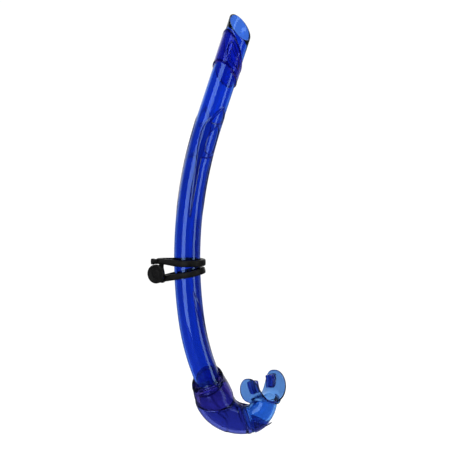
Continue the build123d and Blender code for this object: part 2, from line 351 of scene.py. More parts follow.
def sleeve_rings(line, start, end, outer, inner, shares, around, lip, inner_steps=60):
    """Rings of a sleeve's closed wall section: down the outside, round the far lip, up the inside, and back.

    start and end give the distance at a (radius function, turn); outer and inner give the radius at a
    (distance, turn); shares are the outside rings' places between its ends, from 0 to 1. The (distance, turn)
    of each outside point is given as well.
    """
    turns = ring_turns(around)
    outer_start = [start(outer, turn) + lip for turn in turns]
    outer_end = [end(outer, turn) - lip for turn in turns]
    inner_start = [start(inner, turn) + lip for turn in turns]
    inner_end = [end(inner, turn) - lip for turn in turns]
    rings = []
    places = []
    for share in shares:
        row = wall_places(outer_start, outer_end, share, turns)
        rings.append(wall_ring(line, outer, row))
        places += row
    rings += lip_rings(line, outer_end, inner_end, outer, inner, lip, turns)
    for share in reversed(even(inner_steps)):
        rings.append(wall_ring(line, inner, wall_places(inner_start, inner_end, share, turns)))
    rings += reversed(lip_rings(line, outer_start, inner_start, outer, inner, -lip, turns))
    return rings, places


def ring_turns(around):
    """Angles evenly spaced round a full turn."""
    return [2 * math.pi * j / around for j in range(around)]


def wall_places(starts, ends, share, turns):
    """The (distance, turn) of points part of the way between two rows of distances."""
    return [(a + (b - a) * share, turn) for a, b, turn in zip(starts, ends, turns)]


def wall_ring(line, radius_at, places):
    """The points of a wall at some places."""
    return [on_line(line, distance, radius_at(distance, turn), turn) for distance, turn in places]


def lip_rings(line, outer_ends, inner_ends, outer, inner, lip, turns):
    """Rings over a rounded rim, from the outside to the inside; lip is how far it bulges along the line."""
    ends = list(zip(outer_ends, inner_ends, turns))
    swings = [math.pi * step / LIP_STEPS for step in range(1, LIP_STEPS)]
    return [[lip_point(line, a, b, outer, inner, swing, lip, turn) for a, b, turn in ends]
            for swing in swings]


def lip_point(line, outer_distance, inner_distance, outer, inner, swing, lip, turn):
    """A point on a rounded rim; swing runs from 0 at the outside to a half turn at the inside."""
    share = (1 - math.cos(swing)) / 2
    distance = outer_distance + (inner_distance - outer_distance) * share
    wide, narrow = outer(outer_distance, turn), inner(inner_distance, turn)
    radius = wide + (narrow - wide) * share
    return on_line(line, distance + lip * math.sin(swing), radius, turn)


def even(count):
    """Shares evenly spaced from 0 to 1."""
    return [i / count for i in range(count + 1)]


def always(value):
    """An end cut square to the line, or a wall of one radius."""
    return lambda first, turn: value


def plane_end(line, low, high, plane):
    """An end cut by a plane, between two distances."""
    return lambda radius_at, turn: cut_distance(line, low, high, radius_at, turn, plane)


def smooth(low, high, value):
    """0 at low and beyond it, 1 at high and beyond it, and smooth between; low may be the greater."""
    share = min(1.0, max(0.0, (value - low) / (high - low)))
    return share * share * (3 - 2 * share)


def plateau(low, high, ramp, value):
    """1 from low to high, with a smooth ramp down to 0 outside each."""
    return smooth(low - ramp, low, value) * (1 - smooth(high, high + ramp, value))


def soft_line(away, width):
    """1 on a line, fading to both sides."""
    return math.exp(-(away / width) ** 2)


def wrapped(degrees, period=360):
    """An angle brought to within half a period of 0."""
    return (degrees + period / 2) % period - period / 2


def past_plane(point, plane):
    """How far a point is past a plane, given as a point and a normal, in millimetres."""
    origin, normal = plane
    return (point - origin).dot(normal.normalized()) / MM


def curve_point(start, corner, end, share):
    """A point on the curve that leaves its start towards a corner and bends to its end."""
    return (1 - share) ** 2 * start + 2 * share * (1 - share) * corner + share ** 2 * end


def corner_points(before, here, after, cut, steps=4):
    """Points round a corner that is cut back by a length along each of its sides."""
    near = min(cut, (here - before).length * 0.45, (after - here).length * 0.45)
    start = here + (before - here).normalized() * near
    end = here + (after - here).normalized() * near
    return [curve_point(start, here, end, step / steps) for step in range(steps + 1)]


def rounded_end(share, straight):
    """How far into a rounded end a share is, from 0 to 1; straight is the part between the ends."""
    return max(0.0, abs(2 * share - 1) - straight) / (1 - straight)


def squared_circle(swing, power):
    """Across and up, at an angle, on an oblong with rounded corners; a lower power sharpens them."""
    across, up = math.cos(swing), math.sin(swing)
    return math.copysign(abs(across) ** power, across), math.copysign(abs(up) ** power, up)


def through(stations):
    """A smooth function through (place, value) stations."""
    places = np.array([place for place, _ in stations])
    values = np.array([value for _, value in stations])
    slopes = np.gradient(values, places)

    def value_at(place):
        if place <= places[0]:
            return float(values[0])
        if place >= places[-1]:
            return float(values[-1])
        i = int(np.searchsorted(places, place)) - 1
        width = places[i + 1] - places[i]
        t = (place - places[i]) / width
        return float((2 * t ** 3 - 3 * t ** 2 + 1) * values[i] + (t ** 3 - 2 * t ** 2 + t) * width * slopes[i]
                     + (3 * t ** 2 - 2 * t ** 3) * values[i + 1] + (t ** 3 - t ** 2) * width * slopes[i + 1])
    return value_at

# ---------------- materials

BLUE_GLINT = (0.42, 0.68, 1.0)
SOFT_GLINT = (0.14, 0.20, 0.36)
# What is left of a tint under painted shade along edges and outlines
PAINTED_EDGE_SHADE = (0.06, 0.05, 0.16)
CUFF_PAINTED_EDGE_SHADE = (0.10, 0.03, 0.14)
DUST = (0.004, 0.004, 0.004)
PLASTIC_IOR = 1.48


def mottled(tree, scale, low, high, detail=3.0):
    """A noise, in the object's own space, that runs between two values."""
    coordinates = tree.nodes.new("ShaderNodeTexCoord")
    noise = add_node(tree, "ShaderNodeTexNoise", Scale=scale, Detail=detail)
    tree.links.new(coordinates.outputs["Object"], noise.inputs["Vector"])
    spread = add_node(tree, "ShaderNodeMapRange", From_Min=0.3, From_Max=0.7, To_Min=low, To_Max=high)
    tree.links.new(noise.outputs["Fac"], spread.inputs["Value"])
    return spread.outputs["Result"]


def clear_plastic(name, tint, loss, roughness, edge=PAINTED_EDGE_SHADE, glint=BLUE_GLINT):
    """Tinted clear plastic: its tint wavers a little, and its depth darkens the light that crosses it.

    loss is how much red, green and blue the depth takes, per metre; edge is what is left of the tint where
    the mesh's shade attribute is full, as painted shade along edges and outlines; glint colours its
    reflections.
    """
    material, shader, tree = new_material(name)
    shader.inputs["Transmission Weight"].default_value = 1.0
    shader.inputs["IOR"].default_value = PLASTIC_IOR
    shader.inputs["Specular Tint"].default_value = (*glint, 1)
    deep_tint = [part * 0.93 for part in tint]
    waver = colour_mix(tree, mottled(tree, 45.0, 0.0, 1.0), tint, deep_tint)
    # The shade attribute deepens the tint: painted shade along edges and outlines, and some tone of the
    # plastic's own
    moulded = tree.nodes.new("ShaderNodeAttribute")
    moulded.attribute_name = "shade"
    painted_edge_tint = [part * left for part, left in zip(tint, edge)]
    shaded = colour_mix(tree, moulded.outputs["Fac"], waver, painted_edge_tint)
    tree.links.new(shaded, shader.inputs["Base Color"])
    tree.links.new(mottled(tree, 160.0, roughness * 0.7, roughness * 1.4), shader.inputs["Roughness"])
    ripple = add_node(tree, "ShaderNodeBump", Strength=0.06, Distance=0.0004)
    tree.links.new(mottled(tree, 110.0, 0.0, 1.0), ripple.inputs["Height"])
    tree.links.new(ripple.outputs["Normal"], shader.inputs["Normal"])
    density = max(loss)
    depth = add_node(tree, "ShaderNodeVolumeAbsorption", Density=density)
    depth.inputs["Color"].default_value = (*[1 - part / density for part in loss], 1)
    tree.links.new(depth.outputs["Volume"], tree.nodes["Material Output"].inputs["Volume"])
    return material


def black_rubber(name, colour, roughness, grain):
    """Black rubber or plastic with a fine grain and a little dust in its colour."""
    material, shader, tree = new_material(name)
    shader.inputs["Specular IOR Level"].default_value = 0.08
    dusty = colour_mix(tree, mottled(tree, 260.0, 0.0, 1.0), colour, DUST)
    tree.links.new(dusty, shader.inputs["Base Color"])
    tree.links.new(mottled(tree, 420.0, roughness * 0.85, roughness * 1.15), shader.inputs["Roughness"])
    bump = add_node(tree, "ShaderNodeBump", Strength=grain, Distance=0.0002)
    tree.links.new(mottled(tree, 1500.0, 0.0, 1.0, detail=6.0), bump.inputs["Height"])
    tree.links.new(bump.outputs["Normal"], shader.inputs["Normal"])
    return material


barrel_plastic = clear_plastic(
    "barrel_plastic", tint=(0.050, 0.165, 0.71), loss=(60, 45, 16), roughness=0.03,
    edge=(0.50, 0.06, 0.18))
sleeve_plastic = clear_plastic(
    "sleeve_plastic", tint=(0.34, 0.34, 0.88), loss=(120, 110, 60), roughness=0.09,
    edge=CUFF_PAINTED_EDGE_SHADE, glint=SOFT_GLINT)
cuff_plastic = clear_plastic(
    "cuff_plastic", tint=(0.21, 0.15, 0.54), loss=(120, 110, 60), roughness=0.09,
    edge=CUFF_PAINTED_EDGE_SHADE, glint=SOFT_GLINT)
elbow_silicone = clear_plastic(
    "elbow_silicone", tint=(0.15, 0.18, 0.55), loss=(110, 100, 50), roughness=0.09,
    edge=(0.05, 0.03, 0.12), glint=SOFT_GLINT)
mouth_silicone = clear_plastic(
    "mouth_silicone", tint=(0.115, 0.30, 0.69), loss=(50, 35, 15), roughness=0.10,
    edge=(0.07, 0.02, 0.16))
tab_silicone = clear_plastic(
    "tab_silicone", tint=(0.34, 0.40, 0.92), loss=(140, 130, 50), roughness=0.10,
    edge=(0.03, 0.01, 0.08))
ring_plastic = clear_plastic(
    "ring_plastic", tint=(0.22, 0.18, 0.60), loss=(300, 300, 150), roughness=0.10)
tongue_silicone = clear_plastic(
    "tongue_silicone", tint=(0.12, 0.13, 0.44), loss=(300, 270, 130), roughness=0.08)
keeper_rubber = black_rubber("keeper_rubber", (0.0012, 0.0012, 0.0013), roughness=0.42, grain=0.25)
button_rubber = black_rubber("button_rubber", (0.0014, 0.0014, 0.0015), roughness=0.40, grain=0.2)

# ---------------- barrel, with its moulded trim

# Heights, insets and the widths of lines are in millimetres, and angles in degrees
TRIM_FACING = -47.0
TRIM_BOTTOM, TRIM_TOP = 44, 151.5
TRIM_RISE = 0.5 * MM
TRIM_LINE = 0.85
STEP_SOFTNESS = 0.3
RAILS_TOP, RAIL_GAP_TOP = 103, 101.5
LEAF_BOTTOM, LEAF_TOP = 104.5, 132.5
UPPER_BOTTOM, UPPER_TOP, UPPER_SWEEP = 134.6, 149, 700
FAR_OUTSIDE = -9.0
FLUTE_BOTTOM, FLUTE_TOP = -109, -31
FLUTE_DEPTH = 0.3 * MM
BODY_SHADE, STRIPE_SHADE, RAISED_SHADE = 0.25, 0.36, 0.34
MOUTH_FLARE = 0.9 * MM
FLARE_LENGTH = 9
RING_LOW = 18.5 * MM
RING_HIGH = 21.5 * MM
RING_PLAY = 0.1 * MM
GROOVE_DEPTH = 0.55 * MM
FINE_FROM, FINE_TO = 0.17, 0.53
DEGREE = BARREL_RADIUS / MM * math.pi / 180


def axis_plane(origin, axis, side, height, along_side, along_back):
    """A cutting plane across an axis, as a point and a normal, rising towards the side and the back."""
    return origin + axis * height, axis - side * along_side - BACK * along_back


TIP_SIDE = Vector((TIP_AXIS.z, 0, -TIP_AXIS.x))
FOOT_SIDE = Vector((-FOOT_AXIS.z, 0, FOOT_AXIS.x))
mouth_plane = axis_plane(tip_joint, TIP_AXIS, TIP_SIDE, 95.6 * MM, -0.56, 0.61)
cuff_top_plane = axis_plane(tip_joint, TIP_AXIS, TIP_SIDE, 71.4 * MM, -1.04, -0.91)
cuff_bottom_plane = axis_plane(tip_joint, TIP_AXIS, TIP_SIDE, 46.7 * MM, -0.47, -0.65)
lip_plane = axis_plane(FOOT, FOOT_AXIS, FOOT_SIDE, 12.8 * MM, -0.11, -0.62)
seam_plane = axis_plane(FOOT, FOOT_AXIS, FOOT_SIDE, SEAM_HEIGHT, 0.25, -0.565)

# Half widths of the trim to each side of its middle, by height
trim_outside = through([(TRIM_BOTTOM, 39), (80, 45), (105, 54), (115, 59), (126, 62), (137, 52), (144, 31),
                        (149, 13), (TRIM_TOP, 0)])
rail_inside = through([(TRIM_BOTTOM, 38), (60, 34), (80, 32), (RAILS_TOP, 34)])
leaf_half = through([(LEAF_BOTTOM, 0), (106, 14), (110, 24), (118, 28), (126, 23), (130, 13), (LEAF_TOP, 0)])
upper_half = through([(134, 40), (138, 36), (142, 25), (146, 12), (UPPER_TOP, 0)])

# The flute's middle and half width, by height
flute_middle = through([(FLUTE_BOTTOM, -8), (-95, -14), (-80, -24), (-55, -40), (FLUTE_TOP, -66)])
flute_half = through([(FLUTE_BOTTOM, 0), (-104, 12), (-80, 19), (-55, 16), (-40, 9), (FLUTE_TOP, 0)])


def barrel_height(distance, turn):
    """The height of a point of the barrel's skin."""
    return on_line(barrel_line, distance, BARREL_RADIUS, turn).z / MM


def trim_inset(height, turn):
    """How far inside the raised trim a place is: a spine with two leaf windows and a tail of two rails."""
    away = abs(wrapped(math.degrees(turn) - TRIM_FACING, 180))
    solid = min((trim_outside(height) - away) * DEGREE, TRIM_TOP - height, height - TRIM_BOTTOM)
    if height < RAILS_TOP:
        solid = min(solid, max((away - rail_inside(height)) * DEGREE, height - RAIL_GAP_TOP))
    upper_bottom = UPPER_BOTTOM + away * away / UPPER_SWEEP
    for low, high, half in ((LEAF_BOTTOM, LEAF_TOP, leaf_half), (upper_bottom, UPPER_TOP, upper_half)):
        window = min((half(height) - away) * DEGREE, height - low, high - height)
        solid = max(FAR_OUTSIDE, min(solid, -window))
    return solid


def flute_inset(height, turn):
    """How far inside the lower flute a place is."""
    away = abs(wrapped(math.degrees(turn) - flute_middle(height)))
    return min((flute_half(height) - away) * DEGREE, FLUTE_TOP - height, height - FLUTE_BOTTOM)


def trim_shade(distance, turn):
    """Painted shade darkens the edges of the trim and the flute most; the raised trim is deeper than the bare
    barrel, which deepens downwards and in a +X stripe.
    """
    height = barrel_height(distance, turn)
    inset = trim_inset(height, turn)
    stripe = plateau(-63, 63, 7, wrapped(math.degrees(turn))) * smooth(50, 36, height)
    body = BODY_SHADE * smooth(150, 78, height) + STRIPE_SHADE * stripe
    # Painted shade along the trim's and the flute's edges
    lines = soft_line(inset, TRIM_LINE) + soft_line(flute_inset(height, turn), TRIM_LINE)
    return min(1.0, body + lines + RAISED_SHADE * smooth(-STEP_SOFTNESS, STEP_SOFTNESS, inset))


def trimmed_radius(distance, turn):
    """The barrel's skin: its trim stands out, a flute is let in, and a groove holds the retaining ring."""
    groove = plateau(RING_LOW - RING_PLAY, RING_HIGH + RING_PLAY, 0.2 * MM, distance - FOOT_START)
    height = barrel_height(distance, turn)
    relief = TRIM_RISE * smooth(-STEP_SOFTNESS, STEP_SOFTNESS, trim_inset(height, turn))
    relief -= FLUTE_DEPTH * smooth(-STEP_SOFTNESS, STEP_SOFTNESS, flute_inset(height, turn))
    return BARREL_RADIUS + relief - GROOVE_DEPTH * groove


def bore(distance, turn):
    """The barrel's bore, which opens out a little to a thin rim at the slanted mouth."""
    below = -past_plane(on_line(barrel_line, distance, BORE_RADIUS, turn), mouth_plane)
    return BORE_RADIUS + MOUTH_FLARE * (1 - smooth(0, FLARE_LENGTH, below))


# The rings stand closest along the trim, between two shares of the barrel's length
barrel_shares = [FINE_FROM * share for share in even(30)[:-1]]
barrel_shares += [FINE_FROM + (FINE_TO - FINE_FROM) * share for share in even(270)[:-1]]
barrel_shares += [FINE_TO + (1 - FINE_TO) * share for share in even(150)]
sleeve("barrel_tube", barrel_line, plane_end(barrel_line, 0.0, 60 * MM, mouth_plane),
       always(barrel_line.length), trimmed_radius, bore, barrel_shares,
       "barrel", ["barrel_tip", "barrel_bow", "barrel_foot", "barrel_trim"], "barrel", barrel_plastic,
       shade=trim_shade, around=144, lip=0.35 * MM)

# ---------------- cuff round the tip, with its leaf

CUFF_GAP = 0.06 * MM
CUFF_RISE = 1.05 * MM
BEAD_RISE = 0.3 * MM
BEAD_INSET, BEAD_WIDTH = 0.7, 0.6
WINDOW_DEPTH = 0.65 * MM
WINDOW_SOFTNESS = 0.25
LEAF_FILL = 0.8
WINDOW_LINE, LEAF_LINE = 0.95, 0.75
RIM_INSET, RIM_LINE = 1.1, 0.8
CUFF_SHADE = 0.26

# The leaf's middle and the half widths of its window and of the leaf in it, by height above the tip's joint
leaf_middle = through([(54, 56), (57, 46), (60, 32), (67, 9), (73, -4), (81, -15)])
leaf_width = through([(54, -1), (56.5, 0.6), (60, 3.9), (67, 5.3), (73, 3.9), (78, 1.6), (81, -1)])
leaf_inner = through([(56, -1), (58.5, 0.4), (62, 2.2), (67, 2.9), (71, 1.7), (74, 0), (76, -1)])


def cuff_gaps(distance, turn):
    """How far a point of the cuff's skin is past the cuff's top plane, and past its bottom plane."""
    point = on_line(barrel_line, distance, BARREL_RADIUS + CUFF_RISE, turn)
    return past_plane(point, cuff_top_plane), past_plane(point, cuff_bottom_plane)


def leaf_insets(distance, turn):
    """How far a place is inside the cuff's leaf window, and inside the leaf set in it."""
    height = (TIP_LENGTH - distance) / MM
    across = abs(wrapped(math.degrees(turn) + 90 - leaf_middle(height)) * DEGREE)
    return leaf_width(height) - across, leaf_inner(height) - across


def cuff_outer(distance, turn):
    """The cuff's skin: a bead along each edge, a leaf-shaped window let in, and a leaf standing in it."""
    window, leaf = leaf_insets(distance, turn)
    leaf_rise = LEAF_FILL * smooth(-WINDOW_SOFTNESS, WINDOW_SOFTNESS, leaf)
    depth = smooth(-WINDOW_SOFTNESS, WINDOW_SOFTNESS, window) * (1 - leaf_rise)
    top, bottom = cuff_gaps(distance, turn)
    bead = soft_line(top + BEAD_INSET, BEAD_WIDTH) + soft_line(bottom - BEAD_INSET, BEAD_WIDTH)
    return BARREL_RADIUS + CUFF_RISE + BEAD_RISE * bead - WINDOW_DEPTH * depth


def cuff_shade(distance, turn):
    """Painted shade darkens the cuff's edges and its leaf's outlines; the rest is deeper than its window."""
    window, leaf = leaf_insets(distance, turn)
    top, bottom = cuff_gaps(distance, turn)
    # Painted shade along the leaf's outlines and along the cuff's two edges
    lines = soft_line(window, WINDOW_LINE) + soft_line(leaf, LEAF_LINE)
    rims = soft_line(min(0.0, top + RIM_INSET), RIM_LINE) + soft_line(max(0.0, bottom - RIM_INSET), RIM_LINE)
    return min(1.0, lines + rims + CUFF_SHADE * smooth(STEP_SOFTNESS, -STEP_SOFTNESS, window))


sleeve("tip_sleeve", barrel_line, plane_end(barrel_line, 0.0, 100 * MM, cuff_top_plane),
       plane_end(barrel_line, 20 * MM, TIP_LENGTH, cuff_bottom_plane), cuff_outer,
       always(BARREL_RADIUS + CUFF_GAP), even(120),
       "barrel", ["tip_cuff", "tip_leaf"], "trim", sleeve_plastic, shade=cuff_shade, around=192, lip=0.3 * MM)

# ---------------- socket cuff, elbow and neck

SOCKET_RADIUS = BARREL_RADIUS + 0.07 * MM
SOCKET_DEPTH = 25.6 * MM
RING_ROOM = 14.6 * MM
SKIN_GAP = 0.05 * MM
LIP_RING_RISE = 0.6 * MM
NOTCH_DEPTH = 1.2 * MM
NOTCH_WIDTH, NOTCH_SPREAD = 1.3, 10.0
PANEL_RISE = 0.4 * MM
PANEL_TOP = 62.6
PANEL_LINE, PANEL_SHADE = 1.0, 0.10
BAND_RISE = 0.35 * MM
BAND_WIDTH = 4.6
EDGE_LINE = 1.2
THROAT = THROAT_START / MM
NECK = NECK_END / MM
SEAM = SEAM_HEIGHT / MM

throat_point, throat_heading, throat_side = lower_line.at(THROAT_START - 1.5 * MM)
ring_1_plane = axis_plane(throat_point, throat_heading, throat_side, 0.0, -0.34, -0.19)
ring_2_plane = (ring_1_plane[0] + ring_1_plane[1].normalized() * BAND_WIDTH * MM, ring_1_plane[1])

# The radii of the skin and of the passage, and the panel's half angle, by distance from the barrel's foot
shell_profile = through([(0, 13.9), (10, 15.0), (18, 17.0), (27, 18.6), (SEAM, 19.2), (SEAM + 9, 18.4),
                         (SEAM + 22, 16.6), (THROAT - 6, 15.3), (THROAT + 6, 14.3), (THROAT + 16, 13.4),
                         (THROAT + 25, 12.8), (NECK, 12.6)])
passage_profile = through([(25.1, 13.0), (SEAM, 15.4), (SEAM + 12, 14.6), (SEAM + 24, 13.2), (THROAT, 11.6),
                           (THROAT + 10, 10.8), (THROAT + 22, 10.4), (NECK, 10.4)])
panel_half = through([(30, 78), (46.7, 82), (51.6, 84), (56.5, 80), (60.3, 60), (61.9, 30), (PANEL_TOP, 8),
                      (63.5, 0)])


def shell_outer(distance, turn):
    """The plain skin that the socket cuff, elbow, band and neck share."""
    return shell_profile(distance / MM) * MM


def passage(distance, turn):
    """The air's passage through them."""
    return passage_profile(distance / MM) * MM


def socket_inner(distance, turn):
    """The socket's wall, with a pocket for the retaining ring, then the passage below the barrel's end."""
    pocket = plateau(RING_LOW - 0.2 * MM, RING_HIGH + 0.2 * MM, 0.3 * MM, distance)
    below = smooth(SOCKET_DEPTH, SOCKET_DEPTH + 1.0 * MM, distance)
    socket = SOCKET_RADIUS + (RING_ROOM - SOCKET_RADIUS) * pocket
    return socket * (1 - below) + passage(distance, turn) * below


def cut_gap(distance, turn, plane):
    """How far past a plane a point of the plain skin is."""
    return past_plane(on_line(lower_line, distance, shell_outer(distance, turn), turn), plane)


def notch(distance, turn):
    """Small dips where the socket cuff meets the elbow, on the +X and -X sides."""
    along = soft_line(cut_gap(distance, turn, seam_plane), NOTCH_WIDTH)
    return NOTCH_DEPTH * along * soft_line(wrapped(math.degrees(turn), 180), NOTCH_SPREAD)


def cuff_skin(distance, turn):
    """The socket cuff has a raised ring at its lip, and a notch on each side at its seam."""
    ring = LIP_RING_RISE * smooth(2.9, 2.1, cut_gap(distance, turn, lip_plane))
    return shell_outer(distance, turn) + ring - notch(distance, turn)


def panel_inset(distance, turn):
    """How far a place is inside the elbow's raised panel."""
    away = abs(180 - math.degrees(turn) % 360)
    place = distance / MM
    return min((panel_half(place) - away) * shell_profile(place) * math.pi / 180, PANEL_TOP - place)


def elbow_skin(distance, turn):
    """The elbow has a raised panel, shaped like a tongue, on its outer side."""
    panel = PANEL_RISE * smooth(-0.4, 0.4, panel_inset(distance, turn))
    return shell_outer(distance, turn) - notch(distance, turn) + panel


def band_skin(distance, turn):
    """The band stands a little proud between its two ring lines."""
    gap = cut_gap(distance, turn, ring_1_plane)
    return shell_outer(distance, turn) + BAND_RISE * plateau(1.0, BAND_WIDTH - 1.0, 0.7, gap)


def painted_edge_lines(distance, turn, *planes):
    """Painted shade: dark lines beside the planes that cut a piece."""
    return sum(soft_line(cut_gap(distance, turn, plane), EDGE_LINE) for plane in planes)


def socket_shade(distance, turn):
    """Painted shade outlines the socket cuff's ring and darkens its two ends."""
    ring = soft_line(cut_gap(distance, turn, lip_plane) - 2.7, 0.8)
    return min(1.0, ring + painted_edge_lines(distance, turn, lip_plane, seam_plane))


def elbow_shade(distance, turn):
    """Painted shade outlines the elbow's panel and darkens its two ends; the panel is a little paler than the
    rest.
    """
    inset = panel_inset(distance, turn)
    panel = soft_line(inset, PANEL_LINE) + PANEL_SHADE * smooth(0.5, -0.5, inset)
    return min(1.0, panel + painted_edge_lines(distance, turn, seam_plane, ring_1_plane))


def band_shade(distance, turn):
    """Painted shade darkens the band's two ends."""
    return min(1.0, painted_edge_lines(distance, turn, ring_1_plane, ring_2_plane))


seam_end = plane_end(lower_line, 20 * MM, 60 * MM, seam_plane)
ring_1_end = plane_end(lower_line, THROAT_START - 14 * MM, THROAT_START + 14 * MM, ring_1_plane)
ring_2_end = plane_end(lower_line, THROAT_START - 10 * MM, THROAT_START + 20 * MM, ring_2_plane)
sleeve("socket_cuff", lower_line, plane_end(lower_line, -2 * MM, 30 * MM, lip_plane), seam_end,
       cuff_skin, socket_inner, even(60), "mouth_unit", ["base_cuff"], "trim", cuff_plastic,
       shade=socket_shade, inner_steps=70, around=144, lip=0.5 * MM)
sleeve("elbow_shell", lower_line, seam_end, ring_1_end, elbow_skin, passage, even(80),
       "mouth_unit", ["elbow"], "elbow", elbow_silicone, shade=elbow_shade,
       inner_steps=40, around=168, lip=0.35 * MM)
sleeve("neck_ring", lower_line, ring_1_end, ring_2_end, band_skin, passage, even(16),
       "mouth_unit", ["neck_band"], "elbow", elbow_silicone, shade=band_shade,
       inner_steps=8, around=120, lip=0.35 * MM)


LEAF_START = THROAT_START + 6.4 * MM
LEAF_END = THROAT_START + 17.4 * MM
LEAF_THICKNESS = 0.9 * MM
POINT_LIFT = 1.7 * MM
POINT_LENGTH = 4.5 * MM
leaf_half_width = through([(0, 96), (0.15, 91), (0.5, 68), (0.7, 38), (0.9, 9), (1, 1)])


def neck_leaf(steps=50, columns=60):
    """The leaf on the neck's outer side: two curved sheets joined at their edges."""
    vertices = []
    for is_outer in (True, False):
        for share in even(steps):
            distance = LEAF_START + (LEAF_END - LEAF_START) * share
            lift = POINT_LIFT * smooth(LEAF_END - POINT_LENGTH, LEAF_END, distance)
            for j in range(columns + 1):
                lean = 2 * j / columns - 1
                turn = math.pi + math.radians(leaf_half_width(share)) * lean
                skin = shell_outer(distance, turn)
                low, high = skin + SKIN_GAP + lift, skin + LEAF_THICKNESS + lift
                rounding = math.sqrt(max(0.0, 1 - lean ** 8))
                radius = low + (high - low) * rounding if is_outer else low
                vertices.append(tuple(on_line(lower_line, distance, radius, turn)))
    row = columns + 1
    sheet = (steps + 1) * row
    faces = []
    for base in (0, sheet):
        for a in (base + i * row + j for i in range(steps) for j in range(columns)):
            faces.append((a, a + 1, a + row + 1, a + row))
    for a in (i * row + j for i in range(steps) for j in (0, columns)):
        faces.append((a, a + row, sheet + a + row, sheet + a))
    for a in (i * row + j for i in (0, steps) for j in range(columns)):
        faces.append((a, a + 1, sheet + a + 1, sheet + a))
    finish_piece("neck_tongue", vertices, faces, "mouth_unit", ["neck_leaf"], tongue_silicone)


neck_leaf()

# ---------------- mouthpiece

MOUTH_POINT, MOUTH_AXIS, MOUTH_INNER = lower_line.at(NECK_END)
MOUTH_TWIST = math.radians(50)
BITE_LINE = -MOUTH_INNER * math.cos(MOUTH_TWIST) + BACK * math.sin(MOUTH_TWIST)
BITE_UP = BITE_LINE.cross(MOUTH_AXIS)
FLANGE_RADIUS = 21.5 * MM
FLANGE_BASE = -3.0 * MM
FLANGE_TOP = 22.5 * MM
FLANGE_THICKNESS = 2.2 * MM
FLANGE_HALF_LENGTH = FLANGE_RADIUS * math.pi / 2 + FLANGE_TOP - FLANGE_BASE - FLANGE_RADIUS
FLANGE_HALF_HEIGHT = 15.0 * MM
FLANGE_SWEEP = 0.016 / MM
FLANGE_POWER = 2.9
RIM_SHARE = 0.8
RIM_BULGE = 0.034
FILLET_SPREAD = 3.6 * MM
NECK_LIP = 0.35 * MM
BORE_TOP = NECK_END - 1.5 * MM
NECK_STEPS, FILLET_STEPS, FACE_STEPS, RIM_STEPS, INSIDE_STEPS = 26, 8, 22, 5, 26
FACE_START = NECK_STEPS + FILLET_STEPS
RIM_START = FACE_START + FACE_STEPS + 1
RIM_END = RIM_START + RIM_STEPS - 2
INSIDE_END = RIM_END + INSIDE_STEPS + 1
RIM_FADE = 1.8
SHEET_SHADE = 0.30


def flange_point(along, up, lift):
    """A point of the flange, from its developed outline; lift is how far it stands inside the outer face."""
    quarter = FLANGE_RADIUS * math.pi / 2
    bend = min(abs(along), quarter) / FLANGE_RADIUS
    straight = max(0.0, abs(along) - quarter)
    side = math.copysign((FLANGE_RADIUS - lift) * math.sin(bend), along)
    rise = FLANGE_BASE + FLANGE_RADIUS - (FLANGE_RADIUS - lift) * math.cos(bend) + straight
    edge = up / FLANGE_HALF_HEIGHT
    rise -= FLANGE_SWEEP * up * up * (1 - 0.35 * math.sin(bend))
    side *= 1 + 0.03 * edge * edge
    return MOUTH_POINT + BITE_LINE * side + BITE_UP * up + MOUTH_AXIS * rise


def flange_edge(turn):
    """The flange's outline in its developed sheet: a rounded oblong, pinched a little at its middle."""
    c, s = math.cos(turn), math.sin(turn)
    oblong = abs(c / FLANGE_HALF_LENGTH) ** FLANGE_POWER + abs(s / FLANGE_HALF_HEIGHT) ** FLANGE_POWER
    reach = oblong ** (-1 / FLANGE_POWER)
    along = reach * c
    return along, reach * s * (1 - 0.07 * soft_line(along, 9 * MM))


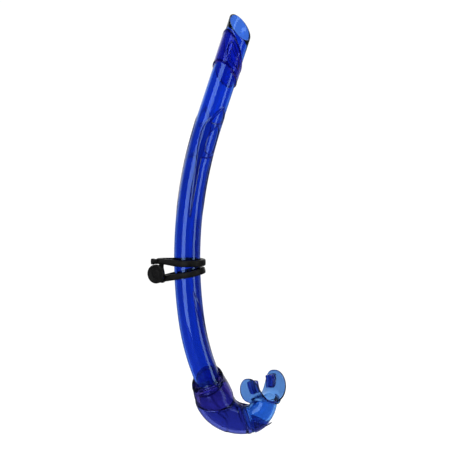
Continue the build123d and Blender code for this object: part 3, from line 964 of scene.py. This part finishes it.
def mouthpiece_rings(around=144):
    """Neck, fillet, outer face, rim, inner face and bore, as rings round the mouthpiece's own axis."""
    turns = ring_turns(around)
    # A turn about the bore starts from the bite line; a turn about the centreline starts from its inner side
    line_turns = []
    for turn in turns:
        direction = BITE_LINE * math.cos(turn) + BITE_UP * math.sin(turn)
        line_turns.append(math.atan2(direction.dot(BACK), direction.dot(MOUTH_INNER)))
    outer_start = [ring_2_end(shell_outer, turn) + NECK_LIP for turn in line_turns]
    inner_start = [ring_2_end(passage, turn) + NECK_LIP for turn in line_turns]
    neck_stop = [NECK_END - 5.0 * MM] * around
    rings = []
    for share in even(NECK_STEPS):
        places = wall_places(outer_start, neck_stop, share, line_turns)
        rings.append(wall_ring(lower_line, shell_outer, places))
    # Fillet from the neck's side onto the flange's outer face
    neck_top = rings[-1]
    radius = shell_outer(NECK_END, 0)
    spread = radius + FILLET_SPREAD
    for step in range(1, FILLET_STEPS):
        ring = []
        for below, turn in zip(neck_top, turns):
            target = flange_point(spread * math.cos(turn), spread * math.sin(turn), 0.0)
            corner = flange_point(radius * math.cos(turn), radius * math.sin(turn), 0.0)
            ring.append(curve_point(below, corner, target, step / FILLET_STEPS))
        rings.append(ring)
    for share in even(FACE_STEPS):
        rings.append([sheet_point(turn, spread, share, 0.0) for turn in turns])
    for step in range(1, RIM_STEPS):
        swing = math.pi * step / RIM_STEPS
        past_edge = 1 + RIM_BULGE * math.sin(swing)
        lift = RIM_SHARE * FLANGE_THICKNESS * (1 - math.cos(swing)) / 2
        rings.append([sheet_point(turn, spread, past_edge, lift) for turn in turns])
    bore_radius = passage(NECK_END, 0)
    for share in even(INSIDE_STEPS):
        lift = FLANGE_THICKNESS * (RIM_SHARE + (1 - RIM_SHARE) * share)
        rings.append([sheet_point(turn, bore_radius + 1.4 * MM, 1 - share, lift) for turn in turns])
    # Rounded lip of the bore, and down the inside
    lip_ring = rings[-1]
    for step in range(1, 6):
        ring = []
        for above, turn, line_turn in zip(lip_ring, turns, line_turns):
            end = on_line(lower_line, BORE_TOP, bore_radius, line_turn)
            across, up = bore_radius * math.cos(turn), bore_radius * math.sin(turn)
            ring.append(curve_point(above, flange_point(across, up, FLANGE_THICKNESS), end, step / 6))
        rings.append(ring)
    bore_top = [BORE_TOP] * around
    for share in even(22):
        rings.append(wall_ring(lower_line, passage, wall_places(bore_top, inner_start, share, line_turns)))
    neck_lip = lip_rings(lower_line, outer_start, inner_start, shell_outer, passage, -NECK_LIP, line_turns)
    return rings + neck_lip[::-1]


def sheet_point(turn, start_radius, share, lift):
    """A point on the flange's sheet, part of the way from a circle round the bore to the outline."""
    along, up = flange_edge(turn)
    a = start_radius * math.cos(turn) + (along - start_radius * math.cos(turn)) * share
    b = start_radius * math.sin(turn) + (up - start_radius * math.sin(turn)) * share
    return flange_point(a, b, lift)


flange_rings = mouthpiece_rings()
# Painted shade along the flange's rim, and a deeper tint over its sheet
flange_shades = []
for number, flange_ring in enumerate(flange_rings):
    past_rim = max(0, RIM_START - number, number - RIM_END)
    sheet = smooth(FACE_START, FACE_START + 4, number) * smooth(INSIDE_END + 4, INSIDE_END - 3, number)
    flange_shades += [max(SHEET_SHADE * sheet, soft_line(past_rim, RIM_FADE))] * len(flange_ring)
make_piece("mouth_flange", flange_rings, "mouth_unit", ["mouthpiece"], mouth_silicone,
           flange_shades)

TAB_LOW = 7 * MM
TAB_HIGH = 20 * MM
TAB_REACH = 8 * MM
TAB_HALF = 2.0 * MM
TAB_SWEEP = 0.4 * MM
RIDGE_HALF = 5.0 * MM
RIDGE_WIDTH = 2.6 * MM
CORNER_CUT = 0.9 * MM
# Painted shade round each corner of the tab's T section, one number for each of a corner's five points
CORNER_PAINTED_SHADES = [0.1, 1.0, 1.0, 1.0, 0.1]


def tab_outline(shrink):
    """The tab's T section, reach and height from the wing's inner face, with rounded corners."""
    neck = TAB_REACH - RIDGE_WIDTH
    corners = [(-0.4 * MM, TAB_HALF + 0.7 * MM), (1.0 * MM, TAB_HALF), (neck, TAB_HALF), (neck, RIDGE_HALF),
               (TAB_REACH, RIDGE_HALF)]
    corners += [(reach, -height) for reach, height in reversed(corners)]
    corners = [Vector(corner) for corner in corners]
    points = []
    for before, here, after in zip(corners[-1:] + corners[:-1], corners, corners[1:] + corners[:1]):
        points += corner_points(before, here, after, CORNER_CUT)
    middle = Vector((TAB_REACH * 0.45, 0))
    return [middle + (point - middle) * (1 - shrink) for point in points]


def bite_tab(name, side, node):
    """A lug inside a wing of the flange: its T section drawn along the bore's axis, with rounded ends."""
    rings = []
    wall = FLANGE_RADIUS - FLANGE_THICKNESS + 0.1 * MM
    for share in even(24):
        height = TAB_LOW + (TAB_HIGH - TAB_LOW) * share
        end = rounded_end(share, 0.82)
        arch = max(0.0, FLANGE_BASE + FLANGE_RADIUS - height)
        inset = wall - math.sqrt(max(0.0, wall * wall - arch * arch))
        ring = []
        for reach, up in tab_outline(0.30 * (1 - math.sqrt(max(0.0, 1 - end * end)))):
            across = side * (wall - reach - inset * (1 - 0.6 * reach / TAB_REACH))
            along = height - TAB_SWEEP * abs(up) / RIDGE_HALF
            ring.append(MOUTH_POINT + BITE_LINE * across + BITE_UP * up + MOUTH_AXIS * along)
        rings.append(ring)
    shades = CORNER_PAINTED_SHADES * (len(rings) * len(rings[0]) // len(CORNER_PAINTED_SHADES))
    make_piece(name, rings, "mouth_unit", [node], tab_silicone, shades, capped=True)


bite_tab("tab_near", -1, "bite_tab_near")
bite_tab("tab_far", 1, "bite_tab_far")

# ---------------- retaining ring

ring_section = [(RING_LOW, 12.5), (RING_LOW, 14.0), (RING_LOW + 0.4 * MM, 14.3), (RING_HIGH - 0.4 * MM, 14.3),
                (RING_HIGH, 14.0), (RING_HIGH, 12.5)]
make_piece("lock_ring",
           [[on_line(lower_line, distance, radius * MM, turn) for turn in ring_turns(96)]
            for distance, radius in ring_section],
           "barrel", ["retaining_ring"], ring_plastic)

# ---------------- strap keeper

KEEPER = "keeper"
BRIDGE_X = JOINTS["button_turn"]["pos_m"][0]
KEEPER_BORE = BARREL_RADIUS + 0.45 * MM
BAND_MIDDLE = -6 * MM
BAND_OUTSIDE = ((1.2 * MM, 17.2 * MM), (BRIDGE_X - 0.2 * MM, 5.4 * MM))
BAND_INSIDE = ((0.3 * MM, KEEPER_BORE), (BRIDGE_X + 4.4 * MM, 2.9 * MM))


def hull_reach(circles, centre, angle):
    """Distance from a centre out to the hull of two circles, given as (x, radius), at an angle."""
    best = 0.0
    dx, dy = math.cos(angle), math.sin(angle)
    (x0, r0), (x1, r1) = circles
    for share in even(60):
        x = x0 + (x1 - x0) * share - centre
        radius = r0 + (r1 - r0) * share
        along = x * dx
        away = abs(x * dy)
        if away < radius:
            best = max(best, along + math.sqrt(radius * radius - away * away))
    return best


def keeper_band(name, node, middle_z, tilt, lift, half_height, narrowing):
    """A rubber band round the barrel and the bridge; its section is a rounded oblong.

    It rises by lift towards the bridge, and half its height gets less by narrowing.
    """
    right = Vector((math.cos(tilt), 0, math.sin(tilt)))
    rise = Vector((-math.sin(tilt), 0, math.cos(tilt)))
    rings = []
    for swing in ring_turns(20):
        u, v = squared_circle(swing, 0.42)
        ring = []
        for angle in ring_turns(176):
            far = hull_reach(BAND_OUTSIDE, BAND_MIDDLE, angle)
            near = hull_reach(BAND_INSIDE, BAND_MIDDLE, angle)
            reach = (far + near) / 2 + (far - near) / 2 * u
            x = BAND_MIDDLE + reach * math.cos(angle)
            half = half_height - narrowing * smooth(-10 * MM, -24 * MM, x)
            up = half * v + lift * smooth(-8 * MM, -26 * MM, x)
            ring.append(Vector((0, reach * math.sin(angle), middle_z)) + right * x + rise * up)
        rings.append(ring)
    make_piece(name, rings, KEEPER, [node], keeper_rubber)


keeper_band("keeper_band_upper", "keeper_upper_loop", middle_z=-2.9 * MM, tilt=0.0, lift=1.2 * MM,
            half_height=3.2 * MM, narrowing=0.4 * MM)
keeper_band("keeper_band_lower", "keeper_lower_loop", middle_z=-14.0 * MM, tilt=math.radians(11.5), lift=0.0,
            half_height=3.0 * MM, narrowing=0.0)


def keeper_bridge(low=-23.4 * MM, high=0.6 * MM):
    """The post that draws the bands together: a rounded oblong in plan, hollowed on its strap side."""
    rings = []
    for share in even(40):
        end = rounded_end(share, 0.86)
        shrink = math.sqrt(max(0.0, 1 - 0.9 * end * end))
        z = low + (high - low) * share
        hollow = 1.3 * MM * soft_line(z + 7.5 * MM, 4.5 * MM)
        ring = []
        for swing in ring_turns(48):
            u, v = squared_circle(swing, 0.6)
            x = 3.0 * MM * u * shrink - hollow * max(0.0, u)
            ring.append(Vector((BRIDGE_X + x, 5.2 * MM * v * shrink, z)))
        rings.append(ring)
    make_piece("keeper_post", rings, KEEPER, ["keeper_bridge"], keeper_rubber, capped=True)


def turned(name, origin, axis, profile, body, nodes, material, around=72):
    """A round piece about an axis, through (height, radius) points in millimetres."""
    axis = Vector(axis).normalized()
    first = axis.cross(Vector((0, 0, 1))).normalized()
    second = axis.cross(first)
    spokes = [first * math.cos(turn) + second * math.sin(turn) for turn in ring_turns(around)]
    rings = [[origin + axis * height * MM + spoke * radius * MM for spoke in spokes]
             for height, radius in profile]
    make_piece(name, rings, body, nodes, material, capped=True)


def rounded(profile, cut):
    """The profile with its inner corners rounded."""
    points = [Vector(point) for point in profile]
    inner = [corner_points(*corner, cut) for corner in zip(points, points[1:], points[2:])]
    return [profile[0]] + [tuple(point) for corner in inner for point in corner] + [profile[-1]]


keeper_bridge()
BRIDGE_POINT = Vector((BRIDGE_X, 0, -2.2 * MM))
turned("keeper_bar", BRIDGE_POINT, (-1, 0, 0),
       rounded([(1.5, 0.2), (1.5, 2.6), (7.2, 2.6), (7.6, 3.0), (10.6, 3.0), (11.1, 1.8), (11.2, 0.2)], 0.6),
       KEEPER, ["keeper_hook"], keeper_rubber, around=40)
BUTTON_POINT = Vector(JOINTS["button_turn"]["pos_m"])
BUTTON_AXIS = Vector(JOINTS["button_turn"]["axis"])
turned("keeper_peg", BUTTON_POINT, BUTTON_AXIS,
       rounded([(2.0, 0.2), (2.0, 2.4), (11.6, 2.4), (11.6, 0.2)], 0.5),
       KEEPER, ["keeper_stud"], keeper_rubber, around=40)
turned("keeper_disc", BUTTON_POINT, BUTTON_AXIS,
       rounded([(11.75, 0.1), (11.75, 2.46), (9.3, 2.46), (9.3, 8.6), (9.8, 9.4), (12.4, 9.4), (12.9, 8.9),
                (12.9, 7.6), (12.3, 7.2), (12.2, 5.0), (12.0, 4.8), (12.0, 4.3), (12.2, 4.1), (12.35, 0.1)],
               0.5),
       "button", ["keeper_button"], button_rubber)
